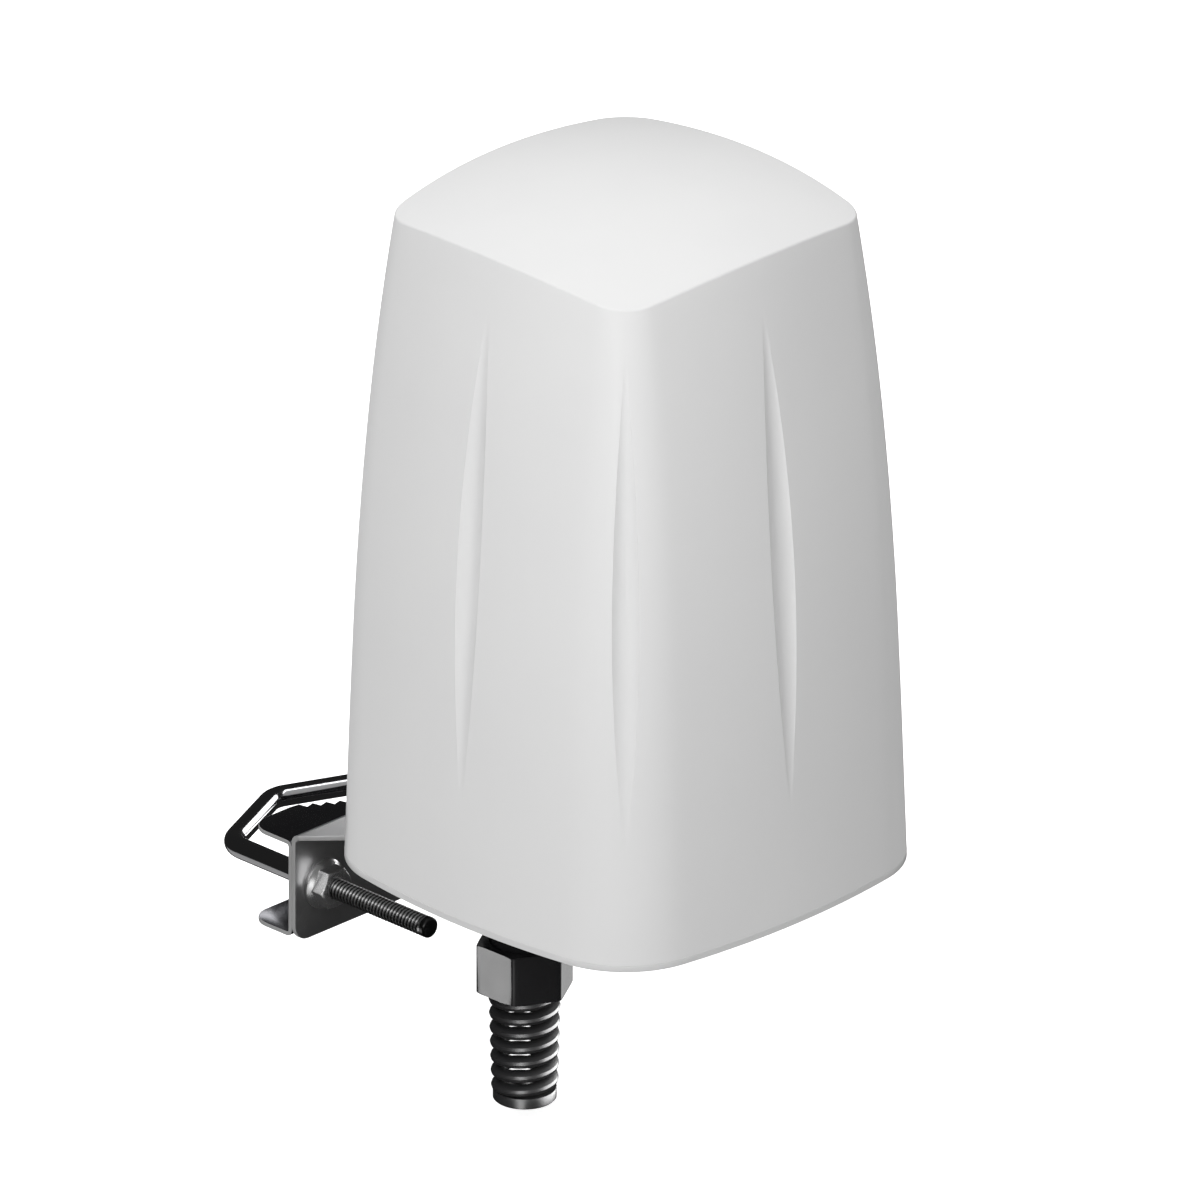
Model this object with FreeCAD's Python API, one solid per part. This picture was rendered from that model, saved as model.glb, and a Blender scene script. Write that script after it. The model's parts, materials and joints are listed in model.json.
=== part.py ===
"""Outdoor omnidirectional antenna on a mast bracket.

Row frame: millimetres, +Z up. The origin is on the mast's axis, level with the legs of the
V-bolt. The antenna head stands in front of the mast, towards -Y, and the V-bolt's crossbar
is on the +Y side. Sub-parts of the head are modelled in the head's own frame, whose origin is
the centre of the radome's bottom rim, and are moved to HEAD when they are written.
"""
import FreeCAD, Part
import math
import os

V = FreeCAD.Vector
Z_AXIS = V(0, 0, 1)

# ---- driving dimensions -------------------------------------------------------------------
HALF_SIDE = 68.0            # radome: half width at the middle of a side, at the rim
CORNER_CENTRE = 36.9        # radome: centre of a corner arc, in X and in Y
CORNER_R = 28.2             # radome: radius of a corner arc at the rim
APEX_Z = 210.1              # radome: top of the dome above the rim
DOME_R = 265.0              # radome: radius of the domed top
DRAFT = 0.033               # radome: inward lean per mm of height
BEND_START = 70.0           # radome: height where the wall starts to curve inwards
BEND = 4.43e-4              # radome: extra lean, times the square of the height above that
WALL = 3.2                  # radome: wall thickness
TOP_EDGE_R = 0.8            # radome: rounding of the edge round the domed top
RIM_H = 2.0                 # base plate: height of its visible rim
FLUTE_R = 6.0               # flutes: radius of the hollow
FLUTE_Z = (50.0, 178.0)     # flutes: lower and upper end
PLINTH_HALF = 46.0          # plinth under the base plate: half width
PLINTH_CORNER_R = 22.0
PLINTH_Z = -10.1            # plinth: underside
PLATE_WALL = 3.0            # base plate: moulded wall thickness

MAST_R = 19.0               # nominal mast held at rest
LEG_X = 31.0                # V-bolt: half the distance between its legs
ROD_R = 3.1                 # V-bolt: rod radius, 1/4 inch thread
V_ANGLE = 23.5              # V-bolt: slope of the crossbar's two sides, degrees
LEG_END_Y = -70.6           # V-bolt: threaded ends of the legs

SHEET = 1.5                 # mounting arm: sheet thickness
BRACKET_HALF = 42.1         # arm and jaw: half width
PLATE_FRONT_Y = -26.75      # arm: front face of its upright plate
PLATE_H = 34.3              # arm: height of the upright plate
ARM_TOP_Z = 18.7            # arm: top face, which meets the plinth
ARM_HALF = 22.0             # arm: half width under the plinth
ARM_END_Y = 25.5            # arm: front edge, in the head's frame
JAW_SHEET = 1.2             # clamp jaw: sheet thickness
JAW_H = 30.0                # clamp jaw: height
JAW_TOP_Z = 15.9
JAW_DEPTH = 17.2            # clamp jaw: depth of its two flanges
NOTCH_HALF = 25.1           # clamp jaw: half width of the V notch at its mouth
NOTCH_ANGLE = 32.0          # clamp jaw: slope of the notch, degrees
TOOTH = 4.0                 # clamp jaw: tooth pitch

NUT_AF = 11.1               # flange nut: across flats
NUT_FLANGE_R = 7.55
NUT_H = 6.2
RUN = 0.05                  # radial clearance of a running fit

GLAND_XY = (-30.0, 10.8)    # gland: axis, in the head's frame
GLAND_AF = 25.0             # gland nut: across flats
GLAND_TURN = 31.2           # gland nut: angle of one corner, degrees
GLAND_NUT_Z = -20.4         # gland nut: top of the hexagon
GLAND_HEX_H = 15.0
NECK_R = 9.9                # gland body: threaded neck
COIL_PITCH = 4.5            # gland nut: pitch of the spiral bend relief
RELIEF_LENGTH = 34.7
COIL_R = (8.3, 7.55)        # bend relief: mean radius of the spiral at its top and bottom
SHOULDER_Z = -34.6          # gland nut: shoulder inside it that pushes the thrust ring
CABLE_BORE_R = 6.35         # gland: clear bore for the lead
VENT_XY = (30.0, 4.0)       # vent plug: axis, in the head's frame

COLUMN_HALF = 31.0          # reflector column: half width
COLUMN_Z = (10.0, 168.0)
COLUMN_SHEET = 1.5
BOARD_GAP = 12.0            # element boards: distance from the column
BOARD_W = 42.0
BOARD_Z = (26.0, 158.0)
BOARD_T = 1.6
SPACER_Z = (34.0, 150.0)    # element boards: heights of the spacers
FEED_Z = 16.0               # feed board: underside
COAX_R = 0.9
COAX_AXIS = 14.0            # pigtails: distance of the vertical run from the head's axis
JACK_Z = 92.0               # element boards: height of the coaxial jack

HEAD = V(0, PLATE_FRONT_Y - 91.5, ARM_TOP_Z - PLINTH_Z)
ARM_SCREWS = [(x, y) for x in (-14.0, 14.0) for y in (32.0, 43.0)]
FEED_SCREWS = [(x, y) for x in (-16.0, 16.0) for y in (-22.0, 22.0)]
CORNER_SCREWS = [(x, y) for x in (-48.0, 48.0) for y in (-48.0, 48.0)]
COLUMN_FOOT = 52.0          # column feet: distance of their screws from the head's axis
SIDES = {"right": 0, "back": 90, "left": 180, "front": 270}


# ---- small helpers ------------------------------------------------------------------------
def cylinder(radius, low, high, x=0.0, y=0.0):
    return Part.makeCylinder(radius, high - low, V(x, y, low))


def tube(outer, inner, low, high, x=0.0, y=0.0):
    return cylinder(outer, low, high, x, y).cut(cylinder(inner, low, high, x, y))


def box(low, high):
    return Part.makeBox(high[0] - low[0], high[1] - low[1], high[2] - low[2], V(*low))


def joined(shapes):
    """One solid from shapes that overlap or touch."""
    return shapes[0].multiFuse(shapes[1:]).removeSplitter() if len(shapes) > 1 else shapes[0]


def prism(points, low, high):
    """Upright prism on a closed list of (x, y) points."""
    wire = Part.makePolygon([V(x, y, low) for x, y in points + points[:1]])
    return Part.Face(wire).extrude(V(0, 0, high - low))


def hexagon(across_flats, low, high, turn=0.0, x=0.0, y=0.0):
    """Hexagonal prism with one corner at the angle turn."""
    corner_r = across_flats / math.sqrt(3)
    angles = [math.radians(turn + 60 * k) for k in range(6)]
    points = [(x + corner_r * math.cos(a), y + corner_r * math.sin(a)) for a in angles]
    return prism(points, low, high)


def revolved(points, x=0.0, y=0.0):
    """Solid of revolution about an upright axis, from (radius, height) points."""
    wire = Part.makePolygon([V(x + r, y, z) for r, z in points + points[:1]])
    return Part.Face(wire).revolve(V(x, y, 0), Z_AXIS, 360)


def rounded_square(half, corner_r, low, high):
    block = box((-half, -half, low), (half, half, high))
    uprights = [e for e in block.Edges if abs(e.tangentAt(e.FirstParameter).z) > 0.9]
    return block.makeFillet(corner_r, uprights)


def turned(shape, degrees):
    """Copy of a shape, turned about the head's axis."""
    copy = shape.copy()
    copy.rotate(V(0, 0, 0), Z_AXIS, degrees)
    return copy


def lying(shape, x, y, z, degrees=90):
    """Copy of an upright shape laid along Y (its +Z end towards -Y), with its foot at x, y, z."""
    copy = shape.copy()
    copy.rotate(V(0, 0, 0), V(1, 0, 0), degrees)
    copy.translate(V(x, y, z))
    return copy


def swept_rod(points, bend_radii, radius):
    """Round rod along straight runs joined by tangent arcs, one radius per inner point."""
    path = []
    start = points[0]
    for before, corner, after, bend in zip(points, points[1:], points[2:], bend_radii):
        into = (corner - before).normalize()
        out = (after - corner).normalize()
        half_turn = into.getAngle(out) / 2
        reach = bend * math.tan(half_turn)
        first, last = corner - into * reach, corner + out * reach
        towards_centre = (out - into).normalize()
        middle = corner + towards_centre * bend * (1 / math.cos(half_turn) - 1)
        path.append(Part.LineSegment(start, first).toShape())
        path.append(Part.Arc(first, middle, last).toShape())
        start = last
    path.append(Part.LineSegment(start, points[-1]).toShape())
    circle = Part.Circle(points[0], (points[1] - points[0]).normalize(), radius)
    section = Part.Wire([circle.toShape()])
    return Part.Wire(path).makePipeShell([section], True, True)


def pan_head_screw(shank_r, length, head_r, head_h, x, y, seat):
    """Screw put in from below: its head hangs under the height seat."""
    shank = cylinder(shank_r, seat, seat + length, x, y)
    head = cylinder(head_r, seat - head_h, seat, x, y)
    head = head.makeFillet(head_h * 0.45, [e for e in head.Edges if e.BoundBox.ZMax < seat - head_h + 0.01])
    socket = hexagon(shank_r * 1.3, seat - head_h, seat - head_h * 0.4, 0, x, y)
    return joined([shank, head]).cut(socket)


# ---- radome -------------------------------------------------------------------------------
def lean(z):
    """How far the wall has moved inwards at height z."""
    return DRAFT * z + BEND * max(0.0, z - BEND_START) ** 2


def outline(inset, z):
    """Closed plan of the head, moved inwards by inset: four side arcs and four corner arcs."""
    offset = HALF_SIDE - CORNER_CENTRE
    side_r = (CORNER_R ** 2 - offset ** 2 - CORNER_CENTRE ** 2) / (2 * (CORNER_R - offset))
    side_centre = V(HALF_SIDE - side_r, 0, z)
    corner_centre = V(CORNER_CENTRE, CORNER_CENTRE, z)
    spread = math.atan2(CORNER_CENTRE, CORNER_CENTRE - side_centre.x)

    def on_circle(centre, radius, angle):
        return centre + V(math.cos(angle), math.sin(angle), 0) * (radius - inset)

    side = Part.Arc(*[on_circle(side_centre, side_r, a) for a in (-spread, 0, spread)])
    corner_angles = (spread, math.pi / 4, math.pi / 2 - spread)
    corner = Part.Arc(*[on_circle(corner_centre, CORNER_R, a) for a in corner_angles])
    edges = [turned(arc.toShape(), 90 * k) for k in range(4) for arc in (side, corner)]
    return Part.Wire(edges)


def head_body(thickness, low):
    """Solid bounded by the radome's surface moved inwards by thickness, from height low up."""
    heights = [low, 36, BEND_START, 98, 126, 154, 182, APEX_Z + 5]
    body = Part.makeLoft([outline(lean(z) + thickness, z) for z in heights], True, False)
    dome = Part.makeSphere(DOME_R - thickness, V(0, 0, APEX_Z - DOME_R))
    return body.common(dome)


def flute(distance, degrees):
    """Round cutter along the chord of one flute; distance is the wall's, at the rim."""
    low, high = [V(distance - lean(z), 0, z) for z in FLUTE_Z]
    along = (high - low).normalize()
    outwards = V(along.z, 0, -along.x)
    extra = along * 12
    length = (high - low).Length + 24
    cutter = Part.makeCylinder(FLUTE_R, length, low - extra + outwards * FLUTE_R, along)
    return turned(cutter, degrees)


def radome():
    corner_distance = CORNER_CENTRE * math.sqrt(2) + CORNER_R
    outer = head_body(0.0, RIM_H)
    top_edges = [e for e in outer.Edges if e.BoundBox.ZMin > 195]
    outer = outer.makeFillet(TOP_EDGE_R, top_edges)
    flutes = [flute(HALF_SIDE, 90 * k) for k in range(4)]
    flutes += [flute(corner_distance, 90 * k + 45) for k in range(4)]
    shell = outer.cut(flutes)
    shell = shell.cut(head_body(WALL, RIM_H - 1))
    bosses = []
    for x, y in CORNER_SCREWS:
        angle = math.degrees(math.atan2(y, x))
        web = turned(box((67, -1.5, RIM_H + 2.5), (78.2, 1.5, 18)), angle)
        boss = cylinder(4.6, RIM_H + 2.5, 18, x, y)
        bosses.append(joined([boss, web]).cut(cylinder(1.7, 0, 15, x, y)))
    ceiling_ring = tube(8, 5, 190, APEX_Z - 1.5)
    return joined([shell, ceiling_ring] + bosses)


# ---- base plate ---------------------------------------------------------------------------
def plan_prism(inset, low, high):
    return Part.Face(outline(inset, low)).extrude(V(0, 0, high - low))


def base_plate():
    field_top = RIM_H + 2.5
    rim = plan_prism(0.0, 0, RIM_H)
    field = plan_prism(WALL + 0.5, RIM_H, field_top)
    plinth = rounded_square(PLINTH_HALF, PLINTH_CORNER_R, PLINTH_Z, 0)
    body = joined([rim, field, plinth])
    floor_z = PLINTH_Z + PLATE_WALL
    body = body.cut(rounded_square(PLINTH_HALF - 3, PLINTH_CORNER_R - 3, floor_z, field_top))
    bosses = [cylinder(4.9, PLINTH_Z, 0, x, y) for x, y in ARM_SCREWS]
    bosses += [cylinder(3.5, PLINTH_Z, FEED_Z, x, y) for x, y in FEED_SCREWS]
    feet = [(COLUMN_FOOT, 0), (0, COLUMN_FOOT), (-COLUMN_FOOT, 0), (0, -COLUMN_FOOT)]
    bosses += [cylinder(4, 1, COLUMN_Z[0], x, y) for x, y in feet]
    ribs = [turned(box((PLINTH_HALF - 2, y - 1, -3), (61, y + 1, 0.5)), 90 * k)
            for k in range(4) for y in (-18, 0, 18)]
    body = joined([body] + bosses + ribs)
    holes = [cylinder(2.8, PLINTH_Z, PLINTH_Z + 9, x, y) for x, y in ARM_SCREWS]
    holes += [cylinder(1.25, FEED_Z - 9, FEED_Z, x, y) for x, y in FEED_SCREWS]
    holes += [cylinder(1.25, 2, COLUMN_Z[0], x, y) for x, y in feet]
    holes += [cylinder(2.2, -1, field_top, x, y) for x, y in CORNER_SCREWS]
    holes += [cylinder(4.4, -1, 1.4, x, y) for x, y in CORNER_SCREWS]
    holes += [cylinder(10.1, PLINTH_Z, floor_z, *GLAND_XY), cylinder(6.1, PLINTH_Z, floor_z, *VENT_XY)]
    return body.cut(holes + [gasket()])


def gasket():
    """Cord seal that lies in a groove of the base plate, under the radome's wall."""
    return plan_prism(0.9, RIM_H - 1, RIM_H).cut(plan_prism(2.4, RIM_H - 1, RIM_H))


def base_screws():
    return [pan_head_screw(1.7, 12, 3.8, 2.4, x, y, 1.4) for x, y in CORNER_SCREWS]


# ---- bracket ------------------------------------------------------------------------------
def bent_profile(points, radii, x_half):
    """Sheet section in the YZ plane, its corners rounded, drawn out along X."""
    wire = Part.makePolygon([V(-x_half, y, z) for y, z in points + points[:1]])
    solid = Part.Face(wire).extrude(V(2 * x_half, 0, 0))
    for (y, z), bend in radii.items():
        edge = [e for e in solid.Edges if e.Length > 2 * x_half - 1
                and abs(e.BoundBox.YMin - y) < 0.01 and abs(e.BoundBox.ZMin - z) < 0.01]
        solid = solid.makeFillet(bend, edge)
    return solid


def mounting_arm():
    """L-shaped steel arm: a tongue under the plinth and an upright plate for the V-bolt."""
    front, back = PLATE_FRONT_Y, PLATE_FRONT_Y + SHEET
    top, under = ARM_TOP_Z, ARM_TOP_Z - SHEET
    bottom = ARM_TOP_Z - PLATE_H
    end = HEAD.y + ARM_END_Y
    points = [(end, under), (end, top), (back, top), (back, bottom), (front, bottom), (front, under)]
    solid = bent_profile(points, {(back, top): 3.0, (front, under): 1.5}, BRACKET_HALF)
    taper = BRACKET_HALF - ARM_HALF
    start = front - 1.5
    half_plan = [(BRACKET_HALF, back), (BRACKET_HALF, start), (ARM_HALF, start - taper * 0.95)]
    half_plan += [(ARM_HALF, end + 4), (ARM_HALF - 4, end)]
    plan = half_plan + [(-x, y) for x, y in reversed(half_plan)]
    solid = solid.common(prism(plan, bottom - 1, top + 1))
    corners = [e for e in solid.Edges if abs(e.Length - SHEET) < 0.01 and e.BoundBox.ZMax < bottom + 0.1]
    solid = solid.makeFillet(5.5, corners)
    screw_holes = [cylinder(2.25, under - 1, top + 1, HEAD.x + x, HEAD.y + y) for x, y in ARM_SCREWS]
    return solid.cut(screw_holes + leg_holes())


def leg_holes():
    return [lying(cylinder(ROD_R + 0.3, 0, 12), x, PLATE_FRONT_Y + 8, 0) for x in (-LEG_X, LEG_X)]


def jaw_plan():
    """Plan of the jaw: two horns, and between them a V notch with teeth along its sides."""
    web_y = PLATE_FRONT_Y + SHEET
    mouth_y = web_y + JAW_DEPTH
    slope = math.radians(NOTCH_ANGLE)
    down = (-math.cos(slope), -math.sin(slope))
    across = (-math.sin(slope), math.cos(slope))
    teeth = []
    for k in range(1, 14):
        offset = 1.0 if k % 2 else -1.0
        along = k * TOOTH / 2 + 0.6
        teeth.append((NOTCH_HALF + down[0] * along + across[0] * offset,
                      mouth_y + down[1] * along + across[1] * offset))
    horn_r = 6.7
    horn = [(BRACKET_HALF - horn_r * (1 - math.cos(a)), mouth_y - horn_r * (1 - math.sin(a)))
            for a in [math.radians(15 * k) for k in range(7)]]
    half = [(BRACKET_HALF, web_y)] + horn + [(NOTCH_HALF + 0.8, mouth_y)] + teeth
    return half + [(-x, y) for x, y in reversed(half)]


def clamp_jaw():
    """Toothed steel channel behind the plate, which bites on the mast."""
    back = PLATE_FRONT_Y + SHEET
    mouth = back + JAW_DEPTH
    top, bottom = JAW_TOP_Z, JAW_TOP_Z - JAW_H
    t = JAW_SHEET
    points = [(back, bottom), (back, top), (mouth, top), (mouth, top - t), (back + t, top - t)]
    points += [(back + t, bottom + t), (mouth, bottom + t), (mouth, bottom)]
    bends = {(back, bottom): 2.0, (back, top): 2.0}
    bends.update({(back + t, top - t): 0.8, (back + t, bottom + t): 0.8})
    channel = bent_profile(points, bends, BRACKET_HALF)
    return channel.common(prism(jaw_plan(), bottom - 1, top + 1)).cut(leg_holes())


def v_bolt():
    """Bent rod round the mast: two threaded legs and a V-shaped crossbar."""
    slope = math.radians(V_ANGLE)
    apex_y = (MAST_R + ROD_R) / math.cos(slope)
    shoulder_y = apex_y - LEG_X * math.tan(slope)
    points = [V(-LEG_X, LEG_END_Y, 0), V(-LEG_X, shoulder_y, 0), V(0, apex_y, 0)]
    points += [V(LEG_X, shoulder_y, 0), V(LEG_X, LEG_END_Y, 0)]
    rod = swept_rod(points, [8.0, 8.0, 8.0], ROD_R)
    ends = [e for e in rod.Edges if e.BoundBox.YMax < LEG_END_Y + 0.01]
    return rod.makeChamfer(0.7, ends)


def flange_nut(x):
    """Hexagonal nut with a conical flange, seated on the front of the plate."""
    flange = revolved([(0, 0), (NUT_FLANGE_R, 0), (NUT_FLANGE_R, 1.1), (5.4, 2.6), (0, 2.6)])
    top = revolved([(0, 0), (8, 0), (8, NUT_H - 1.4), (NUT_AF / 2 - 0.3, NUT_H), (0, NUT_H)])
    body = joined([flange, hexagon(NUT_AF, 0.5, NUT_H).common(top)])
    body = body.cut(cylinder(ROD_R + RUN, -1, NUT_H + 1))
    return lying(body, x, PLATE_FRONT_Y, 0)


# ---- fixing of the arm to the plinth --------------------------------------------------------
def arm_washers():
    top = PLINTH_Z - SHEET
    return [tube(4.5, 2.2, top - 0.8, top, x, y) for x, y in ARM_SCREWS]


def arm_screws():
    seat = PLINTH_Z - SHEET - 0.8
    return [pan_head_screw(2.0, 9.5, 3.9, 2.8, x, y, seat) for x, y in ARM_SCREWS]


def threaded_inserts():
    return [tube(2.8, 2.0, PLINTH_Z, PLINTH_Z + 8, x, y) for x, y in ARM_SCREWS]


# ---- cable gland --------------------------------------------------------------------------
def gland_body():
    flange_low = GLAND_NUT_Z + 4.0
    flange = hexagon(24, flange_low, PLINTH_Z - 1.2, 45, *GLAND_XY)
    thread = cylinder(10.0, PLINTH_Z - 2, -1.0, *GLAND_XY)
    neck = cylinder(NECK_R, -31.0, flange_low + 1, *GLAND_XY)
    body = joined([flange, thread, neck])
    return body.cut([cylinder(7.0, -32, 0, *GLAND_XY), cylinder(8.2, -32, -19.0, *GLAND_XY)])


def gland_seal():
    return tube(8.2, 4.5, -26.5, -19.0, *GLAND_XY)


def gland_washer():
    return tube(11.9, 10.2, PLINTH_Z - 1.2, PLINTH_Z, *GLAND_XY)


def gland_locknut():
    low = PLINTH_Z + PLATE_WALL
    return hexagon(24, low, low + 4.5, 30, *GLAND_XY).cut(cylinder(10.0, low, low + 5, *GLAND_XY))


def gland_thrust_ring():
    """Ring that the nut pushes up against the seal."""
    low, bore = SHOULDER_Z, CABLE_BORE_R + 0.15
    points = [(bore, low), (9.5, low), (9.5, low + 1.2), (8.1, low + 1.2)]
    return revolved(points + [(8.1, low + 5.6), (bore, low + 5.6)], *GLAND_XY)


def coil(top, bottom):
    """Spiral bend relief: a flat strip wound from height top down to bottom, tapering."""
    x, y = GLAND_XY
    height = top - bottom
    start_r, end_r = COIL_R
    taper = math.degrees(math.atan((start_r - end_r) / height))
    path = Part.makeHelix(COIL_PITCH, height, end_r, taper)
    strip = Part.makePolygon([V(end_r + r, 0, z) for r, z in
                              [(-0.95, -1.4), (1.85, -1.1), (1.85, 1.1), (-0.95, 1.4), (-0.95, -1.4)]])
    spring = Part.Wire(path.Edges).makePipeShell([strip], True, True)
    spring.translate(V(x, y, bottom))
    return spring


def gland_nut():
    """Cap nut of the gland, with the spiral bend relief moulded on."""
    hex_low = GLAND_NUT_Z - GLAND_HEX_H
    end = hex_low - RELIEF_LENGTH
    chamfer = revolved([(0, hex_low), (12.9, hex_low), (14.6, hex_low + 1.2), (14.6, GLAND_NUT_Z - 1.2),
                        (13.2, GLAND_NUT_Z), (0, GLAND_NUT_Z)], *GLAND_XY)
    cap = hexagon(GLAND_AF, hex_low, GLAND_NUT_Z, GLAND_TURN, *GLAND_XY).common(chamfer)
    collar = tube(9.75, CABLE_BORE_R, hex_low - 2.2, hex_low + 0.2, *GLAND_XY)
    cap = joined([cap, collar])
    cap = cap.cut([cylinder(NECK_R + RUN, SHOULDER_Z, 0, *GLAND_XY),
                   cylinder(CABLE_BORE_R, hex_low - 3, SHOULDER_Z, *GLAND_XY)])
    end_ring = tube(9.05, CABLE_BORE_R, end, end + 4.4, *GLAND_XY)
    spring = coil(hex_low - 1.2, end + 1.6)
    return cap.fuse(spring).fuse(end_ring)


# ---- vent ---------------------------------------------------------------------------------
def vent_plug():
    """Screwed plug with a side-slotted cap over its membrane."""
    x, y = VENT_XY
    seat = PLINTH_Z - 1.4
    cap = revolved([(0, -15.4), (7.5, -15.4), (8.5, -14.4), (8.5, seat), (0, seat)], x, y)
    stem = cylinder(6.0, PLINTH_Z - 2, -2.5, x, y)
    body = joined([cap, stem]).cut([cylinder(4.0, -13.6, 0, x, y), cylinder(5.0, -13.6, -12.6, x, y)])
    slots = []
    for k in range(6):
        slot = box((4, -0.8, -14.3), (9, 0.8, -12.8))
        slot.rotate(V(0, 0, 0), Z_AXIS, 60 * k)
        slot.translate(V(x, y, 0))
        slots.append(slot)
    return body.cut(slots)


def vent_seal():
    return tube(7.9, 6.05, PLINTH_Z - 1.4, PLINTH_Z, *VENT_XY)


def vent_membrane():
    return cylinder(4.9, -12.9, -12.6, *VENT_XY)


def vent_nut():
    low = PLINTH_Z + PLATE_WALL
    return hexagon(16, low, low + 3.5, 0, *VENT_XY).cut(cylinder(6.0, low, low + 4, *VENT_XY))


# ---- inside the head ----------------------------------------------------------------------
def reflector_column():
    """Square aluminium column that carries the boards and is their ground plane."""
    low, high = COLUMN_Z
    outer = rounded_square(COLUMN_HALF, 3.0, low, high)
    inner = rounded_square(COLUMN_HALF - COLUMN_SHEET, 1.5, low, high)
    parts = [outer.cut(inner)]
    for k in range(4):
        foot = box((COLUMN_HALF - 1.2, -9, low), (COLUMN_FOOT + 6, 9, low + COLUMN_SHEET))
        parts.append(turned(foot.cut(cylinder(1.7, low, low + 3, COLUMN_FOOT, 0)), 90 * k))
    column = joined(parts)
    holes = []
    for k in range(4):
        for z, radius in [(SPACER_Z[0], 1.6), (SPACER_Z[1], 1.6), (JACK_Z, 3.0)]:
            hole = Part.makeCylinder(radius, 6, V(COLUMN_HALF - 4, 0, z), V(1, 0, 0))
            holes.append(turned(hole, 90 * k))
    return column.cut(holes)


def column_screws():
    screws = []
    for k in range(4):
        top = COLUMN_Z[0] + COLUMN_SHEET
        shank = cylinder(1.25, top - 9, top, COLUMN_FOOT, 0)
        head = cylinder(2.8, top, top + 2.0, COLUMN_FOOT, 0)
        screws.append(turned(joined([shank, head]), 90 * k))
    return screws


def column_cap():
    """Cap on the column; its spigot locates in the ring under the radome's ceiling."""
    high = COLUMN_Z[1]
    plate = rounded_square(COLUMN_HALF, 3.0, high, high + 2.5)
    skirt = rounded_square(COLUMN_HALF - COLUMN_SHEET - 0.1, 1.4, high - 5, high)
    skirt = skirt.cut(rounded_square(COLUMN_HALF - COLUMN_SHEET - 2.1, 0.6, high - 5, high))
    spigot = revolved([(0, high), (9, high), (6.5, high + 6), (4.8, high + 24),
                       (4.8, 200), (4, 201), (0, 201)])
    return joined([plate, skirt, spigot])


def element_board(degrees):
    low = COLUMN_HALF + BOARD_GAP
    board = box((low, -BOARD_W / 2, BOARD_Z[0]), (low + BOARD_T, BOARD_W / 2, BOARD_Z[1]))
    holes = [Part.makeCylinder(1.6, 4, V(low - 1, 0, z), V(1, 0, 0)) for z in SPACER_Z]
    return turned(board.cut(holes), degrees)


def radiator(degrees):
    """Copper dipole on the outer face of a board: two tapered arms with a feed gap."""
    face = COLUMN_HALF + BOARD_GAP + BOARD_T
    arms = []
    for sign in (-1, 1):
        points = [(2.5, 1.5), (17, 14), (17, 46), (-17, 46), (-17, 14), (-2.5, 1.5)]
        wire = Part.makePolygon([V(face, y, JACK_Z + sign * z) for y, z in points + points[:1]])
        arms.append(Part.Face(wire).extrude(V(0.2, 0, 0)))
    return [turned(arm, degrees) for arm in arms]


def board_spacers():
    spacers = []
    for degrees in SIDES.values():
        for z in SPACER_Z:
            start = V(COLUMN_HALF, 0, z)
            body = Part.makeCylinder(3.0, BOARD_GAP, start, V(1, 0, 0))
            body = body.cut(Part.makeCylinder(1.6, BOARD_GAP, start, V(1, 0, 0)))
            spacers.append(turned(body, degrees))
    return spacers


def board_screws():
    screws = []
    outer = COLUMN_HALF + BOARD_GAP + BOARD_T
    for degrees in SIDES.values():
        for z in SPACER_Z:
            shank = Part.makeCylinder(1.5, outer - COLUMN_HALF + 4, V(COLUMN_HALF - 4, 0, z), V(1, 0, 0))
            head = Part.makeCylinder(2.8, 1.8, V(outer, 0, z), V(1, 0, 0))
            screws.append(turned(joined([shank, head]), degrees))
    return screws


def element_jacks():
    jacks = []
    for degrees in SIDES.values():
        end = COLUMN_HALF + BOARD_GAP
        body = Part.makeCylinder(2.2, 4.0, V(end - 4, 0, JACK_Z), V(1, 0, 0))
        body = body.cut(Part.makeCylinder(COAX_R, 2.0, V(end - 4, 0, JACK_Z), V(1, 0, 0)))
        jacks.append(turned(body, degrees))
    return jacks


def feed_jacks():
    top = FEED_Z + BOARD_T
    jacks = []
    for degrees in SIDES.values():
        jacks.append(turned(cylinder(2.2, top, top + 4, COAX_AXIS, 0).cut(
            cylinder(COAX_R, top + 2, top + 4, COAX_AXIS, 0)), degrees))
    return jacks


def pigtail(degrees):
    """Coaxial lead from the feed board up the column and out to one element board."""
    outer = COLUMN_HALF + BOARD_GAP - 2
    points = [V(outer, 0, JACK_Z), V(COAX_AXIS, 0, JACK_Z), V(COAX_AXIS, 0, FEED_Z + BOARD_T + 2)]
    return turned(swept_rod(points, [11.0], COAX_R), degrees)


def feed_board():
    board = box((-27, -27, FEED_Z), (27, 27, FEED_Z + BOARD_T))
    return board.cut([cylinder(1.6, FEED_Z - 1, FEED_Z + 3, x, y) for x, y in FEED_SCREWS])


def feed_screws():
    top = FEED_Z + BOARD_T
    return [joined([cylinder(1.25, top - 8, top, x, y), cylinder(2.7, top, top + 1.8, x, y)])
            for x, y in FEED_SCREWS]


def shield_can():
    top = FEED_Z + BOARD_T
    return box((-9, -9, top), (9, 9, top + 4)).cut(box((-8.7, -8.7, top), (8.7, 8.7, top + 3.7)))


def lead_socket():
    """Threaded coaxial socket under the feed board, for the lead that comes in by the gland."""
    flange = box((-6.4, -6.4, FEED_Z - 1.6), (6.4, 6.4, FEED_Z))
    barrel = cylinder(4.6, 3.5, FEED_Z - 1, 0, 0)
    hollow = cylinder(3.4, 3.5, 12, 0, 0)
    pin = cylinder(0.7, 5.0, 12.5, 0, 0)
    return joined([joined([flange, barrel]).cut(hollow), pin])


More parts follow.
